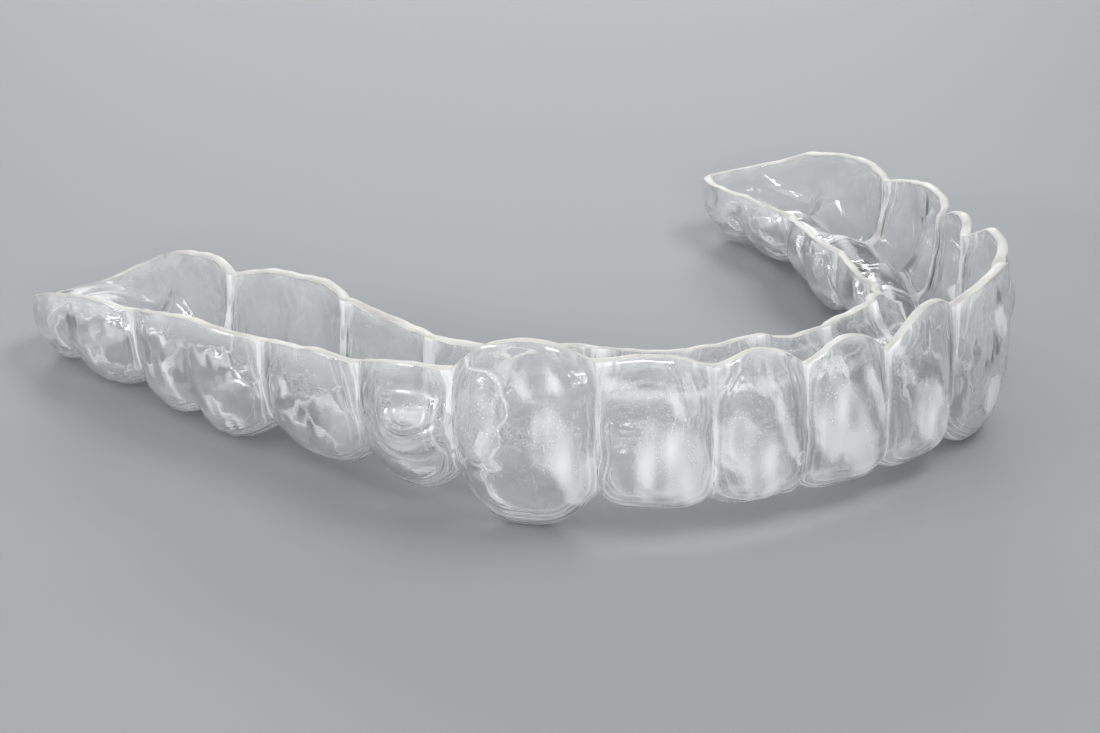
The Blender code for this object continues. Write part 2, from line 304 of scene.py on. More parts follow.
    def _clouds(self, tree: Tree, reads: Reads) -> Socket:
        """Spreads the general haze in clouds, which thin out where dust gathers.

        Args:
            tree: the material's node tree.
            reads: what the finish reads, by name.

        Returns:
            The haze.
        """
        cloudy = add_node(
            tree,
            "MapRange",
            {
                "From Min": -self.cloud_swing,
                "From Max": self.cloud_swing,
                "To Min": self.haze * (1.0 - self.haze_swing),
                "To Max": self.haze * (1.0 + self.haze_swing),
            },
            {"Value": reads["cloud"]},
        )
        thin = {"To Min": 1.0, "To Max": self.haze_in_dust}
        left = add_node(tree, "MapRange", thin, {"Value": reads["dust"]})
        return add_node(tree, "Math", {"operation": "MULTIPLY"}, {0: cloudy, 1: left})

    def _patch(self, tree: Tree, reads: Reads) -> list[Socket]:
        """Draws the rough patch and the bubble: a mist inside a ragged white outline.

        Args:
            tree: the material's node tree.
            reads: what the finish reads, by name.

        Returns:
            The mist and the outline.
        """
        off = add_node(tree, "Math", {"operation": "ABSOLUTE"}, {0: reads["patch"]})
        drawn = []
        for distance, (begin, full), haze in (
            (reads["patch"], self.mist_edge, self.mist),
            (off, self.outline_edge, self.outline_haze),
        ):
            step = {"interpolation_type": "SMOOTHSTEP", "From Min": begin, "From Max": full, "To Max": haze}
            drawn.append(add_node(tree, "MapRange", step, {"Value": distance}))
        return drawn

    def _scratches(self, tree: Tree, reads: Reads) -> Socket:
        """Draws hairlines where the sheet is handled, along the middle values of a drawn-out noise.

        Args:
            tree: the material's node tree.
            reads: what the finish reads, by name.

        Returns:
            The scratches.
        """
        lie = {"Rotation": self.scratch_turn, "Scale": (1.0, 1.0, self.scratch_stretch)}
        laid = add_node(tree, "Mapping", lie, {"Vector": reads["place"]})
        noise = {"Scale": 1.0 / (self.scratch * MM), "Detail": 1.0}
        drawn = add_node(tree, "TexNoise", noise, {"Vector": laid}, "Fac")
        away = add_node(tree, "Math", {"operation": "SUBTRACT", 1: 0.5}, {0: drawn})
        off_line = add_node(tree, "Math", {"operation": "ABSOLUTE"}, {0: away})
        edge = self.scratch_width / self.scratch / 2.0
        rise = {"From Min": edge, "From Max": 0.0, "To Max": self.scratch_haze}
        hairlines = add_node(tree, "MapRange", rise, {"Value": off_line})
        begin, full = self.scratch_clouds
        handled = add_node(tree, "MapRange", {"From Min": begin, "From Max": full}, {"Value": reads["cloud"]})
        return add_node(tree, "Math", {"operation": "MULTIPLY"}, {0: hairlines, 1: handled})

    def _dust(self, tree: Tree, reads: Reads) -> Socket:
        """Scatters dust in drifts: each cell of a grid holds a speck, faint or bright by chance.

        Args:
            tree: the material's node tree.
            reads: what the finish reads, by name.

        Returns:
            The dust.
        """
        grid = add_node(tree, "TexVoronoi", {"Scale": 1.0 / (self.speck * MM)}, {"Vector": reads["place"]})
        # each cell has a colour picked by chance, which stands for its speck's brightness
        distance, colour = (grid.node.outputs[name] for name in ("Distance", "Color"))
        edge = self.speck_size / self.speck
        rise = {"From Min": edge, "From Max": edge * self.speck_core, "To Max": self.speck_haze}
        dot = add_node(tree, "MapRange", rise, {"Value": distance})
        missing, full = self.speck_chance
        chance = add_node(tree, "MapRange", {"From Min": missing, "From Max": full}, {"Value": colour})
        laid = add_node(tree, "Math", {"operation": "MULTIPLY"}, {0: chance, 1: reads["dust"]})
        return add_node(tree, "Math", {"operation": "MULTIPLY"}, {0: dot, 1: laid})


@dataclass(frozen=True)
class CutEdge:
    """The gum edge, trimmed with a burr and hardly polished.

    The burr leaves it matt, so it scatters light and stands out cream-white against the clear walls.
    """

    colour: str = "ebe9e2"
    clear: float = 0.32  # what still passes straight through
    clear_span: tuple[float, float] = (0.6, 1.7)  # share of that where marks are fresh, and worn down
    ior: float = 1.53
    roughness: float = 0.5
    roughness_swing: float = 0.12
    burr: float = 0.22  # spacing of the burr's marks
    burr_depth: float = 0.03
    burr_strength: float = 0.7
    worn: float = 2.2  # spacing of the places where the marks are worn down
    worn_range: tuple[float, float] = (0.35, 0.7)  # noise at which they begin, and are fully worn
    noise_range: tuple[float, float] = (0.3, 0.7)  # values that a noise mostly lies between

    def material(self) -> bpy.types.Material:
        """Builds the finish.

        Returns:
            The material of the cut faces.
        """
        material, tree = new_material("trimmed_plastic_edge")
        place = add_node(tree, "TexCoord", out="Object")
        marks, worn = (
            add_node(tree, "TexNoise", {"Scale": scale, "Detail": detail}, {"Vector": place}, "Fac")
            for scale, detail in ((1.0 / (self.burr * MM), 4.0), (1.0 / (self.worn * MM), 2.0))
        )
        swing = self.roughness_swing
        ranges = []
        for noise, span, least, most in (
            (worn, self.worn_range, *(self.clear * share for share in self.clear_span)),
            (marks, self.noise_range, self.roughness - swing, self.roughness + swing),
        ):
            settings = {"From Min": span[0], "From Max": span[1], "To Min": least, "To Max": most}
            ranges.append(add_node(tree, "MapRange", settings, {"Value": noise}))
        clear, dull = ranges
        relief = {"Distance": self.burr_depth * MM, "Strength": self.burr_strength}
        bump = add_node(tree, "Bump", relief, {"Height": marks})
        shader = add_node(
            tree,
            "BsdfPrincipled",
            {"Base Color": linear(self.colour), "IOR": self.ior, "Metallic": 0.0},
            {"Roughness": dull, "Transmission Weight": clear, "Normal": bump},
        )
        add_node(tree, "OutputMaterial", links={"Surface": shader})
        return material


@dataclass(frozen=True)
class PaintedFloor:
    """Pale matt paint, rolled on, which gives the eye soft shadows and hardly a reflection."""

    colour: str = "9c9fa1"
    roughness: float = 0.6
    gloss: float = 0.2

    def material(self) -> bpy.types.Material:
        """Builds the finish.

        Returns:
            The material of the floor.
        """
        material, tree = new_material("pale_floor")
        settings = {
            "Base Color": linear(self.colour),
            "Roughness": self.roughness,
            "Specular IOR Level": self.gloss,
        }
        shader = add_node(tree, "BsdfPrincipled", settings)
        add_node(tree, "OutputMaterial", links={"Surface": shader})
        return material


# how far each row shares in the pinch at a contact: less towards the gum edge, where gum fills the gaps
PINCH_SHARES = (0.6, 0.85, 1.0, 1.0, 1.0, 1.0, 1.0, 1.0, 1.0, 1.0, 1.0, 0.85, 0.6)


@dataclass(frozen=True)
class WellForm:
    """The cross-section of one kind of crown well: thirteen rows from the cheek trim to the tongue trim."""

    cheek: float  # arch line to the cheek wall
    tongue: float  # arch line to the tongue wall
    across: tuple[float, ...]  # place of each row, as a share of cheek (+) or tongue (-)
    rise: tuple[float, ...]  # height of the seven biting rows over the lowest cusp
    pinch: float  # how far the walls draw in at a contact
    notch: float  # how far the biting side lifts at a contact
    relief: float  # share of the biting relief that is left at a contact
    plan_power: float  # how square the well is from above
    side_power: float  # how square it is from the side
    groove: float = 0.0  # depth of the groove between two cusps
    groove_place: float = 0.0  # how far behind the middle it lies, as a share of half the length
    groove_width: float = 1.5  # half width of that groove

    def spread(self, pinch: float = 0.0) -> np.ndarray:
        """Distances of the rows from the arch line, with both walls drawn in by pinch."""
        share = np.array(self.across)
        return share * (np.where(share > 0.0, self.cheek, self.tongue) - pinch * np.array(PINCH_SHARES))


INCISOR = WellForm(
    cheek=3.0,
    tongue=3.2,
    across=(0.76, 0.92, 1.0, 0.98, 0.82, 0.60, 0.38, 0.12, -0.14, -0.42, -0.72, -0.93, -1.0),
    rise=(1.1, 0.25, 0.0, 0.25, 1.2, 2.8, 4.6),
    pinch=0.75,
    notch=0.3,
    relief=0.95,
    plan_power=4.5,
    side_power=7.0,
)
CANINE = WellForm(
    cheek=3.8,
    tongue=3.8,
    across=(0.88, 0.99, 1.0, 0.88, 0.68, 0.50, 0.28, -0.02, -0.32, -0.58, -0.82, -0.97, -1.0),
    rise=(1.3, 0.2, 0.0, 0.45, 1.6, 3.0, 4.8),
    pinch=1.2,
    notch=2.3,
    relief=0.75,
    plan_power=3.2,
    side_power=2.6,
)
PREMOLAR = WellForm(
    cheek=3.9,
    tongue=3.9,
    across=(0.90, 1.0, 0.98, 0.82, 0.48, 0.18, -0.08, -0.32, -0.58, -0.84, -0.98, -1.0, -0.93),
    rise=(1.3, 0.0, 0.8, 1.5, 1.3, 1.0, 2.2),
    pinch=1.2,
    notch=1.4,
    relief=0.5,
    plan_power=3.2,
    side_power=2.8,
)
MOLAR = WellForm(
    cheek=4.7,
    tongue=4.7,
    across=(0.93, 1.0, 0.99, 0.89, 0.63, 0.30, 0.0, -0.30, -0.61, -0.87, -0.98, -1.0, -0.95),
    rise=(1.1, 0.0, 0.9, 1.6, 0.9, 0.2, 1.2),
    pinch=1.2,
    notch=1.5,
    relief=0.45,
    plan_power=4.2,
    side_power=4.0,
    groove=0.8,
    groove_place=0.08,
)


@dataclass(frozen=True)
class Well:
    """One crown's well: its form, its length along the arch and its lowest point over the table."""

    form: WellForm
    length: float
    tip: float


@dataclass(frozen=True)
class TrimLine:
    """One cut edge on one side of the arch, from the midline back."""

    dips: tuple[float, ...]  # heights at the midline, at the six contacts behind it and at the back end
    bows: tuple[float, ...]  # how far the edge bows up over each of the seven crowns
    power: float = 2.2  # how the bow falls off to the contacts

    def height(self, number: int, place: float, soft: float) -> float:
        """Height of the edge.

        Args:
            number: the crown, counted back from the midline.
            place: where on it, from -1 at its front contact to 1 at its back one.
            soft: 1 at a contact and 0 in the middle of the crown.

        Returns:
            The height over the lowest cusp.
        """
        dip = self.dips[number] + (self.dips[number + 1] - self.dips[number]) * (place + 1.0) / 2.0
        return dip + self.bows[number] * (1.0 - soft**self.power)


@dataclass(frozen=True)
class Arm:
    """The wells on one side of the midline, with their two cut edges."""

    side: Side
    knots: tuple[tuple[float, float], ...]  # the arch line, as (across, back)
    wells: tuple[Well, ...]
    cheek_trim: TrimLine
    tongue_trim: TrimLine

    def along(self, number: int, place: float) -> float:
        """Distance along the arch of a place on a crown, which runs from -1 at its front to 1 at its back."""
        front = sum(well.length for well in self.wells[:number])
        return self.side.value * (front + self.wells[number].length * (place + 1.0) / 2.0)


LEFT_ARM = Arm(
    side=Side.LEFT,
    knots=(
        (-5.3, 0.5),
        (-10.4, 2.7),
        (-15.2, 7.2),
        (-18.3, 13.2),
        (-21.0, 20.0),
        (-24.6, 30.3),
        (-28.4, 43.5),
    ),
    wells=(
        Well(INCISOR, 5.1, 1.1),
        Well(INCISOR, 5.6, 1.2),
        Well(CANINE, 7.2, 0.0),
        Well(PREMOLAR, 5.9, 0.8),
        Well(PREMOLAR, 7.6, 0.4),
        Well(MOLAR, 11.7, 0.0),
        Well(MOLAR, 13.4, 0.0),
    ),
    cheek_trim=TrimLine(
        dips=(8.4, 9.1, 9.7, 8.6, 7.5, 6.9, 5.8, 2.6),
        bows=(1.1, 0.6, 1.9, 0.4, 0.3, 0.7, 1.0),
    ),
    tongue_trim=TrimLine(
        dips=(8.5, 8.2, 8.4, 7.2, 7.2, 7.6, 6.4, 2.6),
        bows=(-0.2, -0.2, 0.2, 0.0, -0.2, 0.5, 1.5),
    ),
)
RIGHT_ARM = Arm(
    side=Side.RIGHT,
    knots=((5.3, 0.5), (10.9, 2.6), (16.2, 7.0), (18.6, 13.2), (21.0, 20.0), (23.9, 30.3), (23.6, 43.5)),
    wells=(
        Well(INCISOR, 5.3, 1.0),
        Well(INCISOR, 5.5, 0.9),
        Well(CANINE, 7.2, 0.0),
        Well(PREMOLAR, 6.8, 0.4),
        Well(PREMOLAR, 7.2, 0.2),
        Well(MOLAR, 11.0, 0.0),
        Well(MOLAR, 14.2, 0.0),
    ),
    cheek_trim=TrimLine(
        dips=(8.4, 8.0, 9.3, 9.0, 8.4, 7.3, 6.3, 3.6),
        bows=(1.5, 1.4, 1.3, 1.0, 0.9, 0.8, 1.1),
    ),
    tongue_trim=TrimLine(
        dips=(8.5, 8.1, 8.3, 6.2, 5.3, 5.1, 4.4, 3.6),
        bows=(-0.5, -0.1, 0.4, 0.2, 0.3, 0.3, 0.3),
    ),
)


@dataclass(frozen=True)
class Spot:
    """A place on the cheek wall, with a size there."""

    arm: Arm
    number: int  # crown, counted back from the midline
    place: float  # -1 at its front contact, 1 at its back one
    height: float  # over the lowest cusp
    length: float  # along the arch
    tall: float

    def reach(self, along: np.ndarray, height: np.ndarray, power: float = 2.0) -> np.ndarray:
        """How far out points lie from the middle of the spot.

        Args:
            along: distances of the points along the arch.
            height: heights of the points.
            power: 2 for an oval, more for a squarer outline.

        Returns:
            0 in the middle and 1 on the outline.
        """
        span = np.abs((along - self.arm.along(self.number, self.place)) / (self.length / 2.0)) ** power
        rise = np.abs((height - self.height) / (self.tall / 2.0)) ** power
        return (span + rise) ** (1.0 / power)


def ease(share: np.ndarray) -> np.ndarray:
    """Eases shares of 0 to 1 in and out."""
    return share**2 * (3.0 - 2.0 * share)


@dataclass(frozen=True)
class Pad:
    """A raised pad on the cheek wall, formed over a button of resin bonded to the tooth."""

    spot: Spot
    proud: float  # how far it stands out
    power: float = 2.6  # how square its outline is
    edge: float = 0.9  # share of its half size over which it falls to the wall

    def lift(self, along: np.ndarray, height: np.ndarray) -> np.ndarray:
        """How far the pad pushes the wall out.

        Args:
            along: distances of the points along the arch.
            height: heights of the points.

        Returns:
            Distances out of the arch.
        """
        reach = self.spot.reach(along, height, self.power)
        return self.proud * ease(np.clip((1.0 + self.edge / 2.0 - reach) / self.edge, 0.0, 1.0))


CANINE_PAD = Pad(Spot(LEFT_ARM, 2, 0.52, 6.2, 2.2, 4.6), proud=0.5)
PREMOLAR_PAD = Pad(Spot(LEFT_ARM, 3, -0.4, 5.1, 3.0, 2.8), proud=0.75)
FAR_PREMOLAR_PAD = Pad(Spot(RIGHT_ARM, 3, 0.0, 5.6, 3.0, 2.6), proud=0.45)

# white marks on the front crowns: painted highlights, laid as milky patches where rubbing whitens the sheet
RUB_HIGHLIGHT_MARKS = (
    Spot(LEFT_ARM, 2, -0.08, 8.5, 0.9, 1.8),
    Spot(LEFT_ARM, 2, -0.42, 9.0, 0.6, 1.5),
    Spot(LEFT_ARM, 2, -0.58, 4.2, 2.0, 6.0),
    Spot(LEFT_ARM, 1, 0.70, 8.5, 1.5, 0.9),
    Spot(LEFT_ARM, 1, -0.30, 7.4, 0.6, 2.2),
    Spot(LEFT_ARM, 1, -0.30, 3.8, 3.7, 4.9),
    Spot(LEFT_ARM, 0, 0.05, 7.9, 1.0, 0.8),
    Spot(LEFT_ARM, 0, 0.32, 4.0, 3.0, 5.2),
    Spot(LEFT_ARM, 0, -0.40, 5.2, 0.7, 4.8),
    Spot(RIGHT_ARM, 0, -0.45, 7.4, 0.6, 2.2),
    Spot(RIGHT_ARM, 0, -0.15, 4.3, 3.2, 5.6),
    Spot(RIGHT_ARM, 0, 0.60, 5.6, 0.8, 4.0),
    Spot(RIGHT_ARM, 1, 0.0, 3.8, 2.8, 4.4),
    Spot(RIGHT_ARM, 1, -0.55, 6.6, 0.5, 3.4),
    Spot(RIGHT_ARM, 2, -0.10, 7.4, 1.4, 2.2),
    Spot(RIGHT_ARM, 2, -0.20, 2.8, 1.8, 2.4),
)

# where dust lies thickest
DUSTY = (
    Spot(LEFT_ARM, 1, 0.20, 6.2, 5.2, 5.6),
    Spot(LEFT_ARM, 0, 0.40, 6.2, 4.0, 5.0),
    Spot(RIGHT_ARM, 0, -0.35, 7.2, 4.2, 4.0),
    Spot(RIGHT_ARM, 1, -0.20, 7.0, 4.0, 4.4),
    Spot(LEFT_ARM, 2, 0.10, 5.4, 5.0, 7.0),
)


class ArchLine:
    """A smooth line through the middle of the crowns."""

    STEPS = 2400

    def __init__(
        self,
        left: Sequence[tuple[float, float]],
        front: tuple[float, float],
        right: Sequence[tuple[float, float]],
    ) -> None:
        """Runs a natural cubic spline through the knots.

        Args:
            left: knots of the left arm, from the midline back.
            front: the knot at the midline.
            right: knots of the right arm, from the midline back.
        """
        knots = np.array([*reversed(left), front, *right])
        at = np.concatenate([[0.0], np.cumsum(np.linalg.norm(np.diff(knots, axis=0), axis=1))])
        count = len(at)
        gap = np.diff(at)
        system = np.eye(count)
        bend = np.zeros((count, 2))
        for i in range(1, count - 1):
            system[i, i - 1 : i + 2] = gap[i - 1], 2.0 * (gap[i - 1] + gap[i]), gap[i]
            bend[i] = 6.0 * ((knots[i + 1] - knots[i]) / gap[i] - (knots[i] - knots[i - 1]) / gap[i - 1])
        second = np.linalg.solve(system, bend)
        fine = np.linspace(0.0, at[-1], self.STEPS + 1)
        cell = np.clip(np.searchsorted(at, fine, side="right") - 1, 0, count - 2)
        low = ((at[cell + 1] - fine) / gap[cell])[:, None]
        high = 1.0 - low
        reach = (gap[cell] ** 2 / 6.0)[:, None]
        path = low * knots[cell] + high * knots[cell + 1]
        self.path = path + ((low**3 - low) * second[cell] + (high**3 - high) * second[cell + 1]) * reach
        run = np.concatenate([[0.0], np.cumsum(np.linalg.norm(np.diff(self.path, axis=0), axis=1))])
        self.run = run - np.interp(at[len(left)], fine, run)
        heading = np.gradient(self.path, self.run, axis=0)
        self.heading = heading / np.linalg.norm(heading, axis=1, keepdims=True)

    def place(self, along: np.ndarray) -> tuple[np.ndarray, np.ndarray]:
        """Finds points on the line; past its ends it runs straight on.

        Args:
            along: distances from the midline, negative to the left.

        Returns:
            The points, and the directions out of the arch at them.
        """
        inside = np.clip(along, self.run[0], self.run[-1])
        over = (along - inside)[..., None]
        point = np.stack([np.interp(inside, self.run, self.path[:, axis]) for axis in (0, 1)], axis=-1)
        ahead = np.stack([np.interp(inside, self.run, self.heading[:, axis]) for axis in (0, 1)], axis=-1)
        ahead = ahead / np.linalg.norm(ahead, axis=-1, keepdims=True)
        outward = np.stack([ahead[..., 1], -ahead[..., 0]], axis=-1)
        return point + ahead * over, outward


@dataclass(frozen=True)
class Waves:
    """A smooth, uneven field made of crossing waves.

    The seed picks them, and each uneven thing has its own, so that no two run alike.
    """

    depth: float
    length: float  # mean length of a wave
    seed: int
    count: int = 7
    spread: tuple[float, float] = (0.7, 1.6)  # shortest and longest wave, as shares of the mean

    def at(self, points: np.ndarray) -> np.ndarray:
        """Measures the field.

        Args:
            points: places in millimetres.

        Returns:
            Its heights there, of about -depth to depth.
        """
        picks = np.random.default_rng(self.seed)
        total = np.zeros(points.shape[:-1])
        for _ in range(self.count):
            direction = picks.normal(size=points.shape[-1])
            direction /= np.linalg.norm(direction)
            length = self.length * picks.uniform(*self.spread)
            total += self.shape(points @ direction / length + picks.uniform())
        return self.depth * (total / math.sqrt(self.count))

    def shape(self, turn: np.ndarray) -> np.ndarray:
        """Heights of one wave, from -1 to 1, by how many of its lengths it has run."""
        return np.sin(2.0 * math.pi * turn)


@dataclass(frozen=True)
class Facets(Waves):
    """Flat facets that meet in straight creases, as in crumpled sheet; two facets make one length."""

    count: int = 3
    spread: tuple[float, float] = (0.8, 1.3)

    def shape(self, turn: np.ndarray) -> np.ndarray:
        """Heights of one fold, from -1 to 1, by how many of its lengths it has run."""
        return 4.0 * np.abs(turn % 1.0 - 0.5) - 1.0


@dataclass(frozen=True)
class Grid:
    """Points of the sheet's middle surface: columns along the arch by rows from cheek trim to tongue trim."""

    along: np.ndarray  # distances along the arch
    height: np.ndarray  # heights over the lowest cusp
    points: np.ndarray

    def run(self) -> np.ndarray:
        """Distances down and up each section from its cheek trim."""
        steps = np.linalg.norm(np.diff(self.points, axis=1), axis=-1)
        return np.concatenate([np.zeros((len(steps), 1)), np.cumsum(steps, axis=1)], axis=1)


def on_cheek(values: np.ndarray, elsewhere: float = 0.0) -> np.ndarray:
    """Keeps a field on the cheek half of the grid only.

    Args:
        values: the field.
        elsewhere: its value on the tongue half.

    Returns:
        The field with that half set.
    """
    kept = values.copy()
    kept[:, values.shape[1] // 2 :] = elsewhere
    return kept


@dataclass(frozen=True)
class Markings:
    """Where the sheet is cloudy, rough, crumpled, dusty or whitened, and where it carries painted highlights
    as rubbing marks.

    Each is a field with one number for each point of the grid, which the finish and the relief read.
    """

    clouds: Waves = Waves(1.0, 4.2, 24)
    rough_patch: Spot = Spot(LEFT_ARM, 2, 0.60, 6.6, 3.0, 6.2)  # over the canine's pad
    patch_power: float = 3.0  # how square it is
    patch_rags: tuple[Waves, Waves] = (Waves(0.25, 1.9, 21), Waves(0.09, 0.8, 22))
    outside: float = -9.0  # stands for far outside the patch
    bubble: Spot = Spot(LEFT_ARM, 0, -0.74, 3.3, 0.7, 0.7)
    swirl: Spot = Spot(LEFT_ARM, 3, -0.45, 6.0, 2.4, 1.8)  # above the pad's middle, so arcs sweep under it
    swirl_waves: Waves = Waves(0.22, 2.6, 23)
    winding: float = 0.2  # how far the arcs wind outwards in a radian
    arc_reach: float = 3.4  # how far from the swirl's middle they have died out
    arc_fade: float = 0.6  # share of that distance over which they do
    arc_top: float = 0.8  # how far over the swirl's middle they end
    arc_top_fade: float = 1.2  # height over which they do
    crumple: Spot = Spot(LEFT_ARM, 4, -0.74, 3.0, 2.8, 3.0)
    small_crumple: Spot = Spot(LEFT_ARM, 4, -0.10, 6.0, 3.4, 1.3)
    small_share: float = 0.6  # how crumpled the small one is, as a share of the other
    crumple_fall: float = 1.4  # how fast both die out
    # painted highlights on the front crowns, laid out as marks of rubbing
    rub_highlight_marks: tuple[Spot, ...] = RUB_HIGHLIGHT_MARKS
    rub_highlight_power: float = 2.4  # how square the marks are
    rub_highlight_reach: float = 1.2  # where a mark ends, as a share of its half size
    rub_highlight_fade: float = 0.5  # share of its half size over which it does
    rub_highlight_level: float = 0.80  # how strong it is, but for its streaks
    rub_highlight_streaks: Waves = Waves(0.32, 1.0, 27)
    rub_highlight_outline: Waves = Waves(0.20, 1.8, 28)
    rub_highlight_rags: Waves = Waves(0.08, 0.8, 33)
    streak_lean: float = 0.3  # how far the streaks of the painted highlight marks lean forward in one millimetre of height
    streak_stretch: float = 0.35  # the smaller, the more drawn-out they are
    dusty: tuple[Spot, ...] = DUSTY
    dust_power: float = 3.0  # how square the dusty places are
    dust_least: float = 0.12  # how thickly it lies everywhere
    dust_level: float = 0.8  # how thickly it lies in the middle of its places, but for its drifts
    dust_drifts: Waves = Waves(0.5, 1.7, 29)
    rim_width: float = 0.7  # how far down the trimming whitens the walls
    rim_level: float = 0.8  # how white they are there, but for its waves
    rim_waves: Waves = Waves(0.3, 2.0, 25)
    border_waves: Waves = Waves(0.10, 2.4, 30)
    soft_bend: float = 0.42  # turn in one millimetre, in radians, from which the stretched sheet whitens
    sharp_bend: float = 1.4  # turn in one millimetre at which it is whitest
    across_weight: float = 1.15  # how much more a bend across the section counts than one along the arch
    stretch_level: float = 0.9  # how white the sharpest bend is, but for its waves
    stretch_waves: Waves = Waves(0.2, 1.6, 26)
    fold_share: float = 0.5  # how white a contact is at least, as a share of the whitest fold
    fold_band: float = 0.30  # half width of the whitened band along a contact
    fold_power: float = 4.0  # how sharply it ends
    fold_flare: float = 1.2  # how much wider it spreads where it meets the cut edge
    flare_depth: float = 1.3  # how far down it has narrowed

    def lay_out(
        self, grid: Grid, normals: np.ndarray, contacts: Sequence[float], ridges: Sequence[int]
    ) -> dict[str, np.ndarray]:
        """Works out the fields.

        Args:
            grid: the middle surface.
            normals: its directions at the grid's points.
            contacts: where crowns meet, as distances along the arch.
            ridges: the grid's rows along the biting edges.

        Returns:
            The fields by name.
        """
        run = grid.run()
        down = np.minimum(run, run[:, -1:] - run)
        near = np.min([np.abs(grid.along - contact) for contact in contacts], axis=0)
        near /= 1.0 + self.fold_flare * np.exp(-((down / self.flare_depth) ** 2))
        under = np.min([np.abs(run - run[:, ridge : ridge + 1]) for ridge in ridges], axis=0)
        rings, arcs = self._arcs(grid)
        rim = np.exp(-((down / self.rim_width) ** 2))
        return {
            "cloud": self.clouds.at(grid.points),
            "patch": self._patch(grid),
            "rings": rings,
            "arcs": arcs,
            "crumple": self._crumple(grid),
            "rub_highlight": self._rub_highlights(grid),
            "dust": self._dust(grid),
            "rim": rim * (self.rim_level + self.rim_waves.at(grid.points)),
            "border": self._border(near, under) + self.border_waves.at(grid.points),
            "stretch": self._stretch(grid, normals, near),
        }

    def _patch(self, grid: Grid) -> np.ndarray:
        """Lays out the rough patch and the bubble.

        Args:
            grid: the middle surface.

        Returns:
            Distances into them, negative outside.
        """
        patch = self.rough_patch
        inside = (1.0 - patch.reach(grid.along, grid.height, self.patch_power)) * patch.length / 2.0
        for rags in self.patch_rags:
            inside += rags.at(grid.points)
        # near a round outline, half its radius times one less the square of the reach is the distance in
        ring = (1.0 - self.bubble.reach(grid.along, grid.height) ** 2) * self.bubble.length / 4.0
        return on_cheek(np.maximum(inside, ring), elsewhere=self.outside)

    def _arcs(self, grid: Grid) -> tuple[np.ndarray, np.ndarray]:
        """Lays out the arcs under the premolar's pad.

        Args:
            grid: the middle surface.

        Returns:
            Distances from the middle that they wind round, and how strongly they show.
        """
        swirl = self.swirl
        ahead = grid.along - swirl.arm.along(swirl.number, swirl.place)
        rings = swirl.reach(grid.along, grid.height) + self.swirl_waves.at(grid.points)
        rings += self.winding * np.arctan2(ahead, swirl.height - grid.height)
        arcs = np.clip((self.arc_reach - rings) / (self.arc_fade * self.arc_reach), 0.0, 1.0)
        arcs *= np.clip((swirl.height + self.arc_top - grid.height) / self.arc_top_fade, 0.0, 1.0)
        return rings, on_cheek(arcs)

    def _crumple(self, grid: Grid) -> np.ndarray:
        """Lays out the crumpled spots.

        Args:
            grid: the middle surface.

        Returns:
            How crumpled the sheet is.
        """
        crumple = np.exp(-self.crumple_fall * self.crumple.reach(grid.along, grid.height) ** 2)
        small = np.exp(-self.crumple_fall * self.small_crumple.reach(grid.along, grid.height) ** 2)
        return on_cheek(crumple + self.small_share * small)

    def _rub_highlights(self, grid: Grid) -> np.ndarray:
        """Lays out the white marks: painted highlights in leaning streaks, laid as plastic whitened by
        rubbing.

        Args:
            grid: the middle surface.

        Returns:
            How white the painted highlight marks make the sheet.
        """
        streaks = grid.points * np.array((1.0, 1.0, self.streak_stretch))
        ragged = self.rub_highlight_outline.at(streaks) + self.rub_highlight_rags.at(grid.points)
        rub_highlight_share = np.zeros(grid.along.shape)
        for mark in self.rub_highlight_marks:
            leaning = grid.along + self.streak_lean * (grid.height - mark.height)
            out = mark.reach(leaning, grid.height, self.rub_highlight_power) + ragged
            rub_highlight_share = np.maximum(rub_highlight_share, ease(np.clip((self.rub_highlight_reach - out) / self.rub_highlight_fade, 0.0, 1.0)))
        rub_highlight_share *= self.rub_highlight_level + self.rub_highlight_streaks.at(streaks)
        return on_cheek(np.maximum(rub_highlight_share, 0.0))

    def _dust(self, grid: Grid) -> np.ndarray:
        """Lays out the drifts of dust.

        Args:
            grid: the middle surface.

        Returns:
            How thickly the dust lies.
        """
        dust = np.full(grid.along.shape, self.dust_least)
        for spot in self.dusty:
            dust = np.maximum(dust, np.exp(-(spot.reach(grid.along, grid.height) ** self.dust_power)))
        return dust * np.clip(self.dust_level + self.dust_drifts.at(grid.points), 0.0, 1.0)

    @staticmethod
    def _border(near: np.ndarray, under: np.ndarray) -> np.ndarray:
        """Measures how far points are from their crown's border.

        Args:
            near: distances to a contact.
            under: distances to a biting edge.

        Returns:
            The nearer of the two, with the corner between them rounded.
        """
        least, power = 0.02, 3.0
        total = np.maximum(near, least) ** -power + np.maximum(under, least) ** -power
        return total ** (-1.0 / power)

    def _stretch(self, grid: Grid, normals: np.ndarray, near: np.ndarray) -> np.ndarray:
        """Works out where the sheet bends sharply, and so was stretched most.

        Args:
            grid: the middle surface.
            normals: its directions at the grid's points.
            near: distances to a contact.

        Returns:
            How far the sheet was stretched.
        """
        least_step = 0.05
        bends = []
        for axis in (0, 1):
            turn = np.linalg.norm(np.gradient(normals, axis=axis), axis=-1)
            step = np.linalg.norm(np.gradient(grid.points, axis=axis), axis=-1)
            bends.append(turn / np.maximum(step, least_step))
        bend = np.hypot(bends[0], self.across_weight * bends[1])
        share = np.clip((bend - self.soft_bend) / (self.sharp_bend - self.soft_bend), 0.0, 1.0)
        share = np.maximum(share, self.fold_share * np.exp(-((near / self.fold_band) ** self.fold_power)))
        return share * (self.stretch_level + self.stretch_waves.at(grid.points))


